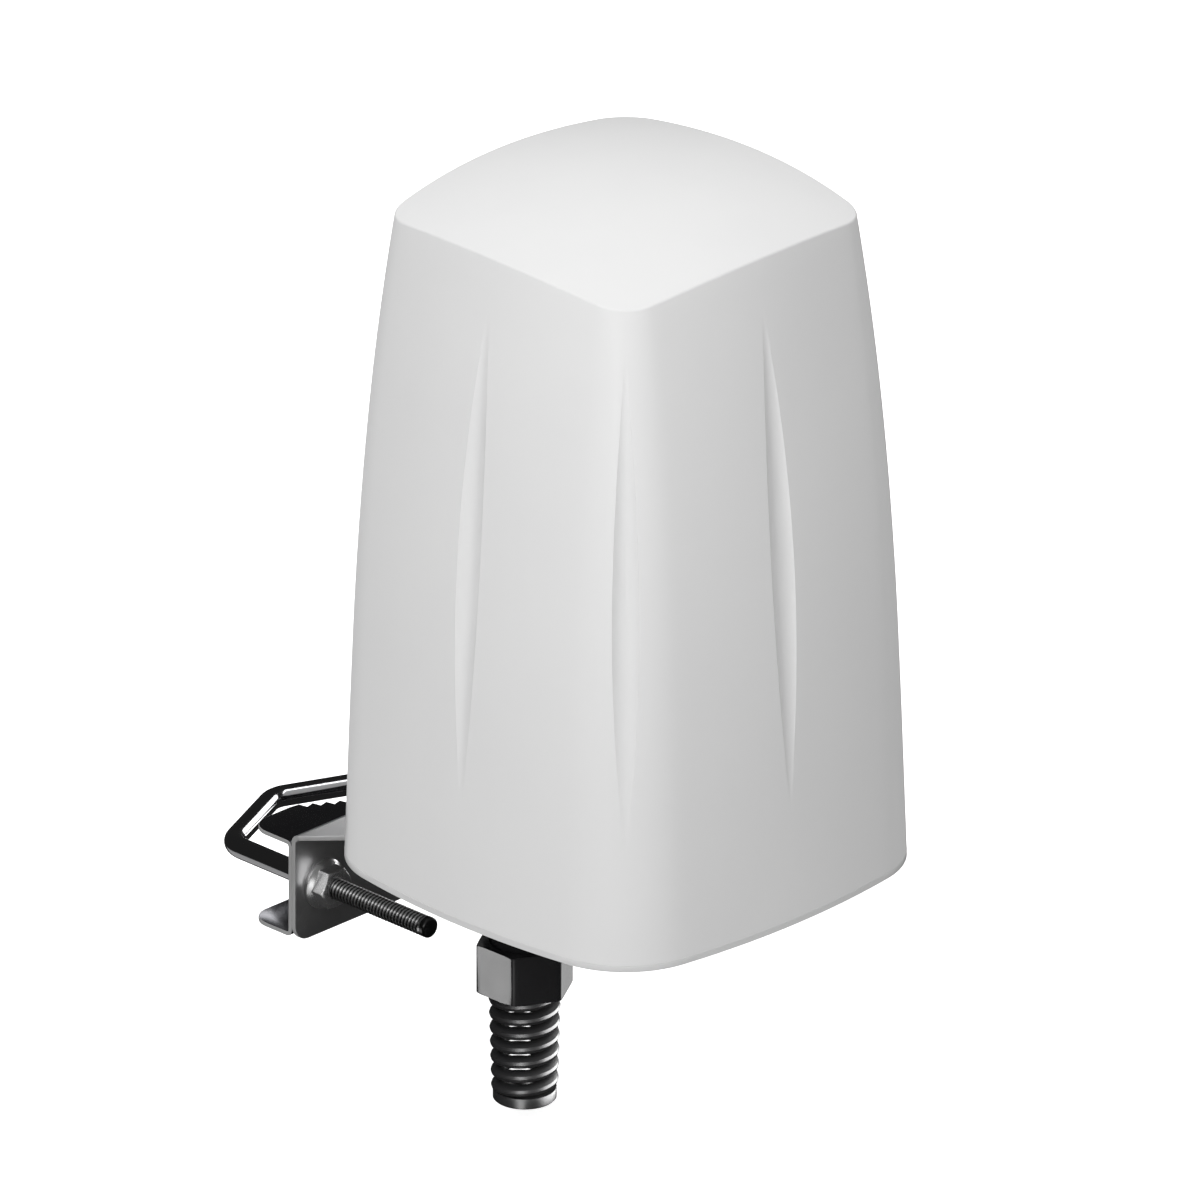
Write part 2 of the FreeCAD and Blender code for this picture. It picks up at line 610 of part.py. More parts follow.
# ---- writing ------------------------------------------------------------------------------
def head_parts():
    parts = {
        "radome": radome(), "base_plate": base_plate(), "rim_gasket": gasket(),
        "base_screws": base_screws(), "arm_washers": arm_washers(), "arm_screws": arm_screws(),
        "threaded_inserts": threaded_inserts(),
        "gland_body": gland_body(), "gland_seal": gland_seal(), "gland_washer": gland_washer(),
        "gland_locknut": gland_locknut(), "gland_thrust_ring": gland_thrust_ring(),
        "gland_nut": gland_nut(),
        "vent_plug": vent_plug(), "vent_seal": vent_seal(), "vent_membrane": vent_membrane(),
        "vent_nut": vent_nut(),
        "reflector_column": reflector_column(), "column_screws": column_screws(),
        "column_cap": column_cap(), "board_spacers": board_spacers(), "board_screws": board_screws(),
        "element_jacks": element_jacks(), "feed_jacks": feed_jacks(), "feed_board": feed_board(),
        "feed_screws": feed_screws(), "shield_can": shield_can(), "lead_socket": lead_socket(),
    }
    for side, degrees in SIDES.items():
        parts["element_board_" + side] = element_board(degrees)
        parts["radiator_" + side] = radiator(degrees)
        parts["pigtail_" + side] = pigtail(degrees)
    return parts


def bracket_parts():
    return {
        "mounting_arm": mounting_arm(), "clamp_jaw": clamp_jaw(), "v_bolt": v_bolt(),
        "flange_nut_left": flange_nut(-LEG_X), "flange_nut_right": flange_nut(LEG_X),
    }


def write(name, shape, offset):
    solids = shape if isinstance(shape, list) else shape.Solids
    whole = solids[0].copy() if len(solids) == 1 else Part.makeCompound(solids)
    whole.translate(offset)
    if not solids or not whole.isValid():
        raise RuntimeError(name + " is not a valid solid")
    whole.exportStep(os.path.join("parts", name + ".step"))
    print(f"{name}: {len(solids)} solid(s), {whole.Volume / 1000:.2f} cm3")


def main():
    os.makedirs("parts", exist_ok=True)
    for name, shape in head_parts().items():
        write(name, shape, HEAD)
    for name, shape in bracket_parts().items():
        write(name, shape, V(0, 0, 0))


main()
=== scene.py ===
"""Looks of the outdoor omnidirectional antenna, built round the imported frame. Metres, +Z up."""

import json
import math

import bmesh
import bpy
import numpy as np
from mathutils import Matrix, Vector


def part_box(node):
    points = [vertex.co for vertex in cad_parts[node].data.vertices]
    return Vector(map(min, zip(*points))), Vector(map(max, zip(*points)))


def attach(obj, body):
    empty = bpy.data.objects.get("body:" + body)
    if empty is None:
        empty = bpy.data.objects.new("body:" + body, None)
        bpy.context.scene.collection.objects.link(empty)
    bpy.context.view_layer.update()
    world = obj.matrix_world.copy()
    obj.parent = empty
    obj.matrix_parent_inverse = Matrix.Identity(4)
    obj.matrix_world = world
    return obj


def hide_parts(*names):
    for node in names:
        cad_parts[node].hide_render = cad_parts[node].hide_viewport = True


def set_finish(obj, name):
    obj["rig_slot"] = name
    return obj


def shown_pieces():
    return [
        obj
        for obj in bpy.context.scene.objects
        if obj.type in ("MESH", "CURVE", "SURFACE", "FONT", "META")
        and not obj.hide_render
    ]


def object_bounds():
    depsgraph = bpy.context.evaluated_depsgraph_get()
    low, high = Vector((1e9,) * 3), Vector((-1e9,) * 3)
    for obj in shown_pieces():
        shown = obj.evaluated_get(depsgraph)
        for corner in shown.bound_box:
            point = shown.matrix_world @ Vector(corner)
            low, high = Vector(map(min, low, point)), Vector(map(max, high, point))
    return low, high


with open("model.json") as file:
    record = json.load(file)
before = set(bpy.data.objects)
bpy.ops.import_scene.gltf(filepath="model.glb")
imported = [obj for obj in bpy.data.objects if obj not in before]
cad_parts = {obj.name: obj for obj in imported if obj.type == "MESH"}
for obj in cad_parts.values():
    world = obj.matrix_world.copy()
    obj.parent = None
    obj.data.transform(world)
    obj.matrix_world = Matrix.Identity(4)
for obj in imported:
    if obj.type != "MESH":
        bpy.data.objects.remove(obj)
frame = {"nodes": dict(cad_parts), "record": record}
cad_low, cad_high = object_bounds()

MM = 0.001

# ---- driving sizes, as in the CAD source, in millimetres in the head's own frame -----------------
HALF_SIDE = 68.0            # half width at the middle of a side, at the rim
CORNER_CENTRE = 36.9        # centre of a corner arc, in X and in Y
CORNER_R = 28.2             # radius of a corner arc at the rim
APEX_Z = 210.1              # top of the dome above the rim
DOME_R = 265.0
DRAFT = 0.033
BEND_START = 70.0
BEND = 4.43e-4
WALL = 3.2
RIM_H = 2.0
TOP_EDGE_R = 0.8            # rounding of the edge round the domed top
FLUTE_LOW, FLUTE_HIGH = 36.0, 190.5
FLUTE_HALF_WIDTH = 4.65
FLUTE_R = 5.6
FLUTE_ZONE = 9.0            # half width of the fine mesh round a flute

LEG_X = 31.0                # V-bolt: half the distance between its legs
ROD_R = 3.1
ROD_BEND = 8.0
ROD_COLUMNS = 40            # mesh columns round the rod
MAST_R = 19.0
V_ANGLE = math.radians(23.5)
PITCH = 1.27
THREAD_DEPTH = 0.50
THREAD_LENGTH = 52.0        # length of rod that is meshed for its thread, from each end
THREAD_START = 1.9          # plain length at the rod's end
THREAD_LEAD = 1.2           # length over which the thread gets its full depth
THREAD_RUNOUT = 2.5         # length over which it fades out at its inner end
THREAD_FLAT = 0.10          # flat share of half a pitch, at the crest and again at the root
END_ROUND = 0.8             # rounding of the rod's end

GLAND_XY = (-30.0, 10.8)
GLAND_TURN = math.radians(31.2)
HEX_AF = 25.0               # gland nut: across flats
HEX_H = 15.0
HEX_CORNER_R = 0.5
CABLE_BORE_R = 6.35
COIL_PITCH = 4.5
COIL_START = math.radians(332)
COIL_INNER_R = 6.75
COIL_OUTER_R = (9.6, 10.4)  # bend relief: outer radius at its bottom and top
COIL_HALF_HEIGHT = 1.72
COIL_SQUARENESS = 0.85      # bend relief: 1 makes the strip's outside round, less makes it squarer

# The head's frame in the row frame: the centre of the radome's bottom rim.
radome_low, radome_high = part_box("radome")
HEAD = Vector(((radome_low.x + radome_high.x) / 2, (radome_low.y + radome_high.y) / 2,
               radome_high.z - APEX_Z * MM))


# ---- mesh helpers --------------------------------------------------------------------------------
def piece(name, verts, faces, body, slot, stands_for, offset=HEAD):
    """Smooth mesh object that rides on a body, from millimetre points in the head's frame, or in the
    row frame when the offset is zero."""
    mesh = bpy.data.meshes.new(name)
    points = np.asarray(verts, float) * MM + np.array(offset)
    mesh.from_pydata(points.tolist(), [], [list(f) for f in faces])
    mesh.validate()
    mesh.update()
    built = bmesh.new()
    built.from_mesh(mesh)
    bmesh.ops.recalc_face_normals(built, faces=built.faces)
    built.to_mesh(mesh)
    built.free()
    mesh.shade_smooth()
    made = bpy.data.objects.new(name, mesh)
    bpy.context.scene.collection.objects.link(made)
    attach(made, body)
    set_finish(made, slot)
    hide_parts(*stands_for)
    return made


def sharpen(made, degrees):
    """Marks edges sharper than the angle, so that smooth shading stops there."""
    made.data.set_sharp_from_angle(angle=math.radians(degrees))


def strip_faces(rows, columns, first=0):
    """Quads between closed rows of points, whose numbers start at first."""
    faces = []
    for r in range(rows - 1):
        for c in range(columns):
            a = first + r * columns + c
            b = first + r * columns + (c + 1) % columns
            faces.append((a, b, b + columns, a + columns))
    return faces


def lathe(profile, segments, x, y):
    """Closed ring about the upright axis at x, y, from a closed loop of (radius, height) points."""
    verts = []
    for k in range(segments):
        a = 2 * math.pi * k / segments
        verts += [(x + r * math.cos(a), y + r * math.sin(a), z) for r, z in profile]
    count = len(profile)
    faces = []
    for k in range(segments):
        for i in range(count):
            a, b = k * count + i, k * count + (i + 1) % count
            c, d = ((k + 1) % segments) * count + (i + 1) % count, ((k + 1) % segments) * count + i
            faces.append((a, b, c, d))
    return verts, faces


# ---- radome --------------------------------------------------------------------------------------
def lean(z):
    """How far the wall has moved inwards at height z."""
    return DRAFT * z + BEND * max(0.0, z - BEND_START) ** 2


def plan_arcs():
    """Radius of a side arc at the rim, and the angle that half of it spans."""
    offset = HALF_SIDE - CORNER_CENTRE
    side_r = (CORNER_R ** 2 - offset ** 2 - CORNER_CENTRE ** 2) / (2 * (CORNER_R - offset))
    spread = math.atan2(CORNER_CENTRE, CORNER_CENTRE - HALF_SIDE + side_r)
    return side_r, spread


SIDE_R, SPREAD = plan_arcs()


def plan_point(s):
    """Point and outward direction of the rim's outline. s counts eighths of a turn: 0 is the middle
    of the +X side, 1 the +X+Y corner, 2 the middle of the +Y side, and so on round to 8."""
    quarter, part = divmod(s, 2.0)
    length_side = SIDE_R * SPREAD
    length_corner = CORNER_R * (math.pi / 4 - SPREAD)
    t = part if part <= 1 else 2 - part
    run = t * (length_side + length_corner)
    if run <= length_side:
        angle = run / SIDE_R
        centre, radius = (HALF_SIDE - SIDE_R, 0.0), SIDE_R
    else:
        angle = SPREAD + (run - length_side) / CORNER_R
        centre, radius = (CORNER_CENTRE, CORNER_CENTRE), CORNER_R
    x, y = centre[0] + radius * math.cos(angle), centre[1] + radius * math.sin(angle)
    nx, ny = math.cos(angle), math.sin(angle)
    if part > 1:
        x, y, nx, ny = y, x, ny, nx
    turn = quarter * math.pi / 2
    c, d = math.cos(turn), math.sin(turn)
    return (c * x - d * y, d * x + c * y), (c * nx - d * ny, d * nx + c * ny)


EIGHTH = SIDE_R * SPREAD + CORNER_R * (math.pi / 4 - SPREAD)   # length of an eighth of the outline


def dome_z(x, y, inset):
    """Height of the dome at a point of the plan, moved inwards by inset."""
    return APEX_Z - DOME_R + math.sqrt((DOME_R - inset) ** 2 - x * x - y * y)


def flute_half_width(z):
    """Half width of a flute at height z: widest in the middle, pointed at both ends."""
    if not FLUTE_LOW < z < FLUTE_HIGH:
        return 0.0
    t = (z - FLUTE_LOW) / (FLUTE_HIGH - FLUTE_LOW)
    return FLUTE_HALF_WIDTH * 4 * t * (1 - t)


def column_places(z):
    """Mesh columns round the outline at height z: (place, distance from the nearest flute's middle),
    in eighths of a turn. Columns crowd to a flute's two edges, so that the edges are mesh lines."""
    narrowest = 0.012                      # keeps the columns apart where there is no flute
    in_flute, beside, between = 6, 6, 8    # columns in each part of half a flute's share
    crowding = 1.3
    half = max(flute_half_width(z) / EIGHTH, narrowest / EIGHTH)
    zone = FLUTE_ZONE / EIGHTH
    right = [0.0] + [half * math.sin(math.pi / 2 * k / in_flute) for k in range(1, in_flute + 1)]
    right += [half + (zone - half) * (k / beside) ** crowding for k in range(1, beside + 1)]
    right += [zone + (0.5 - zone) * k / between for k in range(1, between + 1)]
    places = []
    for k in range(8):
        places += [(k + p, p) for p in right]
        places += [(k + 1 - p, p) for p in reversed(right[1:-1])]
    return places


def radome_rows():
    """Heights of the mesh rows of the outer wall: below, beside and above the flutes."""
    steps = 74
    below = [RIM_H, RIM_H + 0.25, 5, 10, 18, 28, 36]
    beside = [FLUTE_LOW + (FLUTE_HIGH - FLUTE_LOW) * k / steps for k in range(steps + 1)]
    return below + beside + [193, 197]


def wall_ring(z, inset, with_flutes=True):
    """One ring of points at height z, moved inwards by inset."""
    half = flute_half_width(z)
    ring = []
    for s, from_flute in column_places(z):
        point, normal = plan_point(s % 8.0)
        depth = 0.0
        distance = from_flute * EIGHTH
        if with_flutes and half > 0 and distance < half:
            depth = math.sqrt(FLUTE_R ** 2 - distance ** 2) - math.sqrt(FLUTE_R ** 2 - half ** 2)
        shift = lean(z) + inset + depth
        ring.append((point[0] - normal[0] * shift, point[1] - normal[1] * shift, z))
    return ring


def top_edge_rows(inset):
    """Rings of points over the rounded edge between the wall and the dome. Each column's edge is
    found in its own upright plane, as (-shift, height), and rounded there."""
    steps = 6
    rings = [[] for _ in range(steps + 1)]
    lowest, highest = 190.0, 212.0
    for s, _ in column_places(lowest):
        point, normal = plan_point(s % 8.0)

        def dome_at(shift):
            return dome_z(point[0] - normal[0] * shift, point[1] - normal[1] * shift, inset)

        low, high = lowest, highest
        for _ in range(40):
            middle = (low + high) / 2
            if dome_at(lean(middle) + inset) > middle:
                low = middle
            else:
                high = middle
        edge_z = low
        edge_shift = lean(edge_z) + inset
        wall_dir = Vector((-(DRAFT + 2 * BEND * (edge_z - BEND_START)), 1.0)).normalized()
        step = 0.01
        roof_dir = Vector((-step, dome_at(edge_shift + step) - dome_at(edge_shift))).normalized()
        angle = wall_dir.angle(roof_dir)
        start = Vector((-edge_shift, edge_z)) - wall_dir * TOP_EDGE_R * math.tan(angle / 2)
        inward = Vector((-wall_dir.y, wall_dir.x))
        centre = start + inward * TOP_EDGE_R
        first = start - centre
        for k in range(steps + 1):
            turned = first.copy()
            turned.rotate(Matrix.Rotation(angle * k / steps, 2))
            spot = centre + turned
            rings[k].append((point[0] + normal[0] * spot.x, point[1] + normal[1] * spot.x, spot.y))
    return rings


def dome_cap(ring, inset):
    """Grid of points over the dome inside a ring, with no pole: returns its points and faces, which
    use the ring's own points along the four sides."""
    count = len(ring)
    n = count // 4
    corner = n // 2                        # the +X+Y corner
    sides = [[(corner + q * n + k) % count for k in range(n + 1)] for q in range(4)]
    south, east, north, west = sides[0], sides[1], sides[2][::-1], sides[3][::-1]
    index = {}
    for k in range(n + 1):
        index.update({(k, 0): south[k], (k, n): north[k], (0, k): west[k], (n, k): east[k]})
    flat = [Vector((p[0], p[1])) for p in ring]
    extra = []
    for i in range(1, n):
        for j in range(1, n):
            u, v = i / n, j / n
            point = ((1 - v) * flat[south[i]] + v * flat[north[i]]
                     + (1 - u) * flat[west[j]] + u * flat[east[j]]
                     - (1 - u) * (1 - v) * flat[south[0]] - u * (1 - v) * flat[south[n]]
                     - (1 - u) * v * flat[north[0]] - u * v * flat[north[n]])
            index[(i, j)] = count + len(extra)
            extra.append((point.x, point.y, dome_z(point.x, point.y, inset)))
    faces = []
    for i in range(n):
        for j in range(n):
            faces.append((index[(i, j)], index[(i + 1, j)], index[(i + 1, j + 1)], index[(i, j + 1)]))
    return extra, faces


def build_radome():
    """Closed shell: outer wall with flutes, rounded edge, dome, and the plain inner skin."""
    outer = [wall_ring(z, 0.0) for z in radome_rows()] + top_edge_rows(0.0)
    inner = [wall_ring(z, WALL, False) for z in (RIM_H, 30, 70, 100, 130, 160, 185)]
    inner.append(top_edge_rows(WALL)[0])
    count = len(outer[0])
    verts, faces = [], []
    for rings, inset in ((outer, 0.0), (inner, WALL)):
        first = len(verts)
        for ring in rings:
            verts += ring
        faces += strip_faces(len(rings), count, first)
        last = first + (len(rings) - 1) * count
        extra, cap = dome_cap(rings[-1], inset)
        offset = len(verts)
        verts += extra
        faces += [tuple(last + i if i < count else offset + i - count for i in f) for f in cap]
    for c in range(count):
        d = (c + 1) % count
        faces.append((c, d, first + d, first + c))
    sharpen(piece("radome_shell", verts, faces, "antenna", "radome_plastic", ["radome"]), 14)


# ---- V-bolt --------------------------------------------------------------------------------------
def rod_path():
    """Points along the V-bolt's centre line from one end to the other."""
    apex_y = (MAST_R + ROD_R) / math.cos(V_ANGLE)
    shoulder_y = apex_y - LEG_X * math.tan(V_ANGLE)
    end_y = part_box("v_bolt")[0].y / MM
    corners = [Vector((-LEG_X, end_y, 0)), Vector((-LEG_X, shoulder_y, 0)), Vector((0, apex_y, 0)),
               Vector((LEG_X, shoulder_y, 0)), Vector((LEG_X, end_y, 0))]
    points = [corners[0]]
    for before, corner, after in zip(corners, corners[1:], corners[2:]):
        into = (corner - before).normalized()
        out = (after - corner).normalized()
        turn = into.angle(out)
        reach = ROD_BEND * math.tan(turn / 2)
        first = corner - into * reach
        centre = first + (out - into * into.dot(out)).normalized() * ROD_BEND
        sign = 1 if into.cross(out).z > 0 else -1
        steps = 14
        for k in range(steps + 1):
            spoke = first - centre
            spoke.rotate(Matrix.Rotation(sign * turn * k / steps, 3, "Z"))
            points.append(centre + spoke)
    points.append(corners[-1])
    return points


def thread_radius(run, around, length):
    """Radius of the threaded rod at a distance from its end, at an angle round it."""
    phase = (run / PITCH - around / (2 * math.pi)) % 1.0
    ridge = abs(phase - 0.5) * 2
    profile = min(1.0, max(0.0, (ridge - THREAD_FLAT) / (1 - 2 * THREAD_FLAT)))
    fade_in = max(0.0, (run - THREAD_START) / THREAD_LEAD)
    fade = min(1.0, max(0.0, (length - run) / THREAD_RUNOUT), fade_in)
    rounded = min(1.0, run / END_ROUND)
    end_radius = ROD_R - END_ROUND * (1 - math.sqrt(1 - (1 - rounded) ** 2))
    return min(ROD_R - THREAD_DEPTH * fade * profile, end_radius)


def rod_mesh(rows):
    """Closed round bar along (centre, radius as a function of the angle) rows."""
    verts = []
    for i, (centre, radius) in enumerate(rows):
        ahead = rows[min(i + 1, len(rows) - 1)][0] - rows[max(i - 1, 0)][0]
        ahead.normalize()
        side = Vector((ahead.y, -ahead.x, 0))
        for k in range(ROD_COLUMNS):
            a = 2 * math.pi * k / ROD_COLUMNS
            spot = centre + side * radius(a) * math.cos(a) + Vector((0, 0, 1)) * radius(a) * math.sin(a)
            verts.append(tuple(spot))
    faces = strip_faces(len(rows), ROD_COLUMNS)
    for first, centre in ((0, rows[0][0]), ((len(rows) - 1) * ROD_COLUMNS, rows[-1][0])):
        verts.append(tuple(centre))
        middle = len(verts) - 1
        faces += [(first + k, first + (k + 1) % ROD_COLUMNS, middle) for k in range(ROD_COLUMNS)]
    return verts, faces


def build_v_bolt():
    """Bent rod, and the cut thread on its two legs. The thread's roots and the rod's ends take the
    second material, a near-black metal that paints shade into the grooves and onto the end faces."""
    path = rod_path()
    in_place = Vector((0, 0, 0))
    step = PITCH / 10
    count = int(THREAD_LENGTH / step)
    length = step * count
    verts, faces = [], []
    starts = []
    for end, towards in ((path[0], path[1]), (path[-1], path[-2])):
        along = (towards - end).normalized()
        starts.append(end + along * length)
        rows = [(end + along * step * k, lambda a, run=step * k: thread_radius(run, a, length))
                for k in range(count + 1)]
        leg_verts, leg_faces = rod_mesh(rows)
        faces += [tuple(len(verts) + i for i in f) for f in leg_faces]
        verts += leg_verts
    legs = piece("v_bolt_threads", verts, faces, "bolt", "polished_steel", ["v_bolt"], in_place)
    sharpen(legs, 50)
    end_y = path[0].y
    for face in legs.data.polygons:
        x, y, z = face.center / MM
        depth = ROD_R - math.hypot(abs(x) - LEG_X, z)
        # Painted shade: the deeper half of each thread groove and the rod's end take the near-black
        # second material.
        face.material_index = 1 if y < end_y + THREAD_START or depth > 0.5 * THREAD_DEPTH else 0
    plain = [starts[0]] + path[1:-1] + [starts[1]]
    verts, faces = rod_mesh([(centre, lambda a: ROD_R) for centre in plain])
    rod = piece("v_bolt_rod", verts, faces, "bolt", "polished_steel", ["v_bolt"], in_place)
    sharpen(rod, 50)


# ---- sheet metal, nuts and mouldings: the CAD shapes with their edges broken ---------------------
SAME_POINT = 2e-6                       # metres
SAME_PLANE = math.radians(0.5)
BROKEN_EDGE = math.radians(32)


def is_cut_edge(face, widest):
    """True for the narrow faces where the sheet was cut, and not for the facets of a bend. Every bend
    runs along X, so its facets face between Y and Z."""
    half_perimeter = sum(e.calc_length() for e in face.edges) / 2
    narrow = face.calc_area() / half_perimeter < widest
    n = face.normal
    on_bend = abs(n.x) < 0.01 and abs(n.y) > 0.03 and abs(n.z) > 0.03
    return narrow and not on_bend


def softened(name, node, body, slot, width, sheet=0.0):
    """The node's shape with a small round on every sharp edge, width millimetres wide. Where a
    sheet's thickness is given, its cut edges and the rounds take the second material, a lighter and
    mattier metal that paints a highlight along the sheet's edges."""
    source = frame["nodes"][node]
    built = bmesh.new()
    built.from_mesh(source.data)
    bmesh.ops.transform(built, matrix=source.matrix_world, verts=built.verts)
    bmesh.ops.remove_doubles(built, verts=built.verts, dist=SAME_POINT)
    bmesh.ops.dissolve_limit(built, angle_limit=SAME_PLANE, verts=built.verts, edges=built.edges)
    bmesh.ops.recalc_face_normals(built, faces=built.faces)
    widest = sheet * 1.02 * MM             # of a cut edge
    for face in built.faces:
        # Narrow cut faces, and below the rounds, take the lighter second material: a painted edge
        # highlight.
        face.material_index = 1 if sheet and is_cut_edge(face, widest) else 0
    sharp = [e for e in built.edges if len(e.link_faces) == 2 and e.calc_face_angle() > BROKEN_EDGE]
    bmesh.ops.bevel(built, geom=sharp, offset=width * MM, offset_type="OFFSET", segments=2, profile=0.5,
                    affect="EDGES", clamp_overlap=True, material=1 if sheet else -1)
    bmesh.ops.triangulate(built, faces=[f for f in built.faces if len(f.verts) > 4])
    mesh = bpy.data.meshes.new(name)
    built.to_mesh(mesh)
    built.free()
    mesh.shade_smooth()
    made = bpy.data.objects.new(name, mesh)
    bpy.context.scene.collection.objects.link(made)
    sharpen(made, 28)
    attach(made, body)
    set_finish(made, slot)
    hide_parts(node)


# ---- gland nut with its spiral bend relief -------------------------------------------------------
def hex_radius(angle):
    """Radius of the hexagon's outline at an angle, with its corners rounded."""
    from_corner = (angle - GLAND_TURN + math.pi / 6) % (math.pi / 3) - math.pi / 6
    centre = (HEX_AF / 2 - HEX_CORNER_R) / math.cos(math.pi / 6)
    flat = HEX_AF / 2 / math.cos(math.pi / 6 - abs(from_corner))
    across = centre * math.sin(from_corner)
    if abs(across) > HEX_CORNER_R * 0.5:   # past the point where the round meets the flat
        return flat
    return min(flat, centre * math.cos(from_corner) + math.sqrt(HEX_CORNER_R ** 2 - across ** 2))


def hexagon_angles():
    """Angles of the mesh columns round the hexagon, closer together at its corners."""
    angles = []
    for corner in range(6):
        start = GLAND_TURN + corner * math.pi / 3
        angles += [start + math.radians(d) for d in
                   (-0.9, -0.45, 0.0, 0.45, 0.9, 3, 8, 14, 20, 26, 30, 34, 40, 46, 52, 57)]
    return angles


def cap_rows(top, low):
    """(height, greatest radius, follows the hexagon) of the cap's rings, from the lower end of its
    bore round the outside and back down through the bore."""
    outside = [(low - 2.2, CABLE_BORE_R + 0.05, False), (low - 2.2, 9.45, False),
               (low - 1.9, 9.75, False), (low - 0.25, 9.75, False), (low, 10.0, False),
               (low, 12.2, True), (low, 13.9, True), (low + 0.12, 14.2, True), (low + 0.3, 15.0, True),
               (top - 0.3, 15.0, True), (top - 0.12, 14.2, True), (top, 13.9, True), (top, 12.2, True)]
    inside = [(top, 10.3, False), (top - 0.35, 9.95, False), (top - 14.2, 9.95, False),
              (top - 14.2, CABLE_BORE_R + 0.05, False)]
    return outside + inside


def build_gland_nut():
    """Cap nut, and its spiral bend relief with the end ring: closed shells that overlap."""
    x, y = GLAND_XY
    end, top = ((corner.z - HEAD.z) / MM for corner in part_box("gland_nut"))
    low = top - HEX_H
    angles, rows = hexagon_angles(), cap_rows(top, low)
    verts = []
    for z, limit, on_hexagon in rows:
        for a in angles:
            r = min(limit, hex_radius(a)) if on_hexagon else limit
            verts.append((x + r * math.cos(a), y + r * math.sin(a), z))
    count = len(angles)
    faces = strip_faces(len(rows), count)
    last = (len(rows) - 1) * count
    faces += [(last + c, last + (c + 1) % count, (c + 1) % count, c) for c in range(count)]
    made = piece("gland_nut_moulding", verts, faces, "cap_nut", "black_nylon", ["gland_nut"])
    sharpen(made, 30)
    verts, faces = spiral(x, y, low - 1.3, end + 2.2)      # sunk in the collar and the end ring
    ring_verts, ring_faces = end_ring(x, y, end)
    faces += [tuple(len(verts) + i for i in f) for f in ring_faces]
    relief = piece("gland_relief", verts + ring_verts, faces, "cap_nut", "black_nylon", ["gland_nut"])
    sharpen(relief, 30)


def spiral(x, y, top, bottom):
    """Right-handed strip with a rounded outside, wound from the end ring up to the collar."""
    turns = (top - bottom) / COIL_PITCH
    around, section = 64, 14
    inside_bulge = 0.25
    rows = int(turns * around) + 1
    verts = []
    for k in range(rows):
        share = k / (rows - 1)
        a = COIL_START + share * turns * 2 * math.pi
        z = bottom + share * (top - bottom)
        outer = COIL_OUTER_R[0] + (COIL_OUTER_R[1] - COIL_OUTER_R[0]) * share
        for j in range(section):
            t = 2 * math.pi * j / section
            if math.cos(t) > 0:
                r = COIL_INNER_R + (outer - COIL_INNER_R) * math.cos(t) ** COIL_SQUARENESS
            else:
                r = COIL_INNER_R + inside_bulge * math.cos(t)
            height = COIL_HALF_HEIGHT * math.copysign(abs(math.sin(t)) ** COIL_SQUARENESS, math.sin(t))
            verts.append((x + r * math.cos(a), y + r * math.sin(a), z + height))
    faces = strip_faces(rows, section)
    faces.append(tuple(range(section)))
    faces.append(tuple((rows - 1) * section + j for j in range(section)))
    return verts, faces


def end_ring(x, y, end):
    """Plain ring that closes the lower end of the spiral."""
    bore, edge = CABLE_BORE_R, CABLE_BORE_R + 0.3
    profile = [(bore, end + 0.3), (edge, end), (8.75, end), (9.15, end + 0.4),
               (9.15, end + 2.8), (8.95, end + 3.2), (edge, end + 3.2), (bore, end + 2.9)]
    return lathe(profile, 72, x, y)


# ---- materials -----------------------------------------------------------------------------------
class Nodes:
    """Small helper for a material's node tree."""

    def __init__(self, name):
        self.material = bpy.data.materials.new(name)
        self.material.use_nodes = True
        self.tree = self.material.node_tree
        self.shader = next(n for n in self.tree.nodes if n.type == "BSDF_PRINCIPLED")
        self.place = self.tree.nodes.new("ShaderNodeTexCoord").outputs["Object"]

    def add(self, kind, **inputs):
        node = self.tree.nodes.new("ShaderNode" + kind)
        for key, value in inputs.items():
            socket = node.inputs[key.replace("_", " ")]
            if isinstance(value, bpy.types.NodeSocket):
                self.tree.links.new(value, socket)
            else:
                socket.default_value = value
        return node

    def link(self, output, socket_name):
        self.tree.links.new(output, self.shader.inputs[socket_name])

    def set(self, **inputs):
        for key, value in inputs.items():
            self.shader.inputs[key.replace("_", " ")].default_value = value

    def noise(self, scale, detail=3.0, stretch=None):
        place = self.place
        if stretch:
            mapping = self.add("Mapping", Vector=place)
            mapping.inputs["Scale"].default_value = stretch
            place = mapping.outputs["Vector"]
        return self.add("TexNoise", Vector=place, Scale=scale, Detail=detail).outputs["Fac"]

    def ramp(self, fac, low, high):
        node = self.add("ValToRGB", Fac=fac)
        node.color_ramp.elements[0].color = (*low, 1)
        node.color_ramp.elements[1].color = (*high, 1)
        node.color_ramp.elements[0].position = 0.3
        node.color_ramp.elements[1].position = 0.7
        return node.outputs["Color"]

    def spread(self, fac, low, high):
        node = self.add("MapRange", Value=fac)
        node.inputs["To Min"].default_value = low
        node.inputs["To Max"].default_value = high
        return node.outputs["Result"]

    def bump(self, height, strength, distance):
        node = self.add("Bump", Height=height, Strength=strength, Distance=distance)
        self.link(node.outputs["Normal"], "Normal")


def moulded(name, low, high, rough, **settings):
    """Moulded plastic: faint colour drift, fine grain."""
    made = Nodes(name)
    made.link(made.ramp(made.noise(18.0), low, high), "Base Color")
    made.link(made.spread(made.noise(140.0), rough - 0.03, rough + 0.03), "Roughness")
    made.bump(made.noise(2600.0, 2.0), 0.05, 0.00004)
    made.set(**settings)
    return made.material


def metal(name, low, high, rough, stretch=None, strength=0.06, vary=0.05, **settings):
    """Bare metal: its grain varies the roughness, and stretch draws it out along one direction."""
    made = Nodes(name)
    grain = made.noise(900.0, 4.0, stretch)
    made.link(made.ramp(made.noise(60.0), low, high), "Base Color")
    made.link(made.spread(grain, rough - vary, rough + vary), "Roughness")
    made.bump(grain, strength, 0.00003)
    made.set(**{"Metallic": 1.0, **settings})
    return made.material


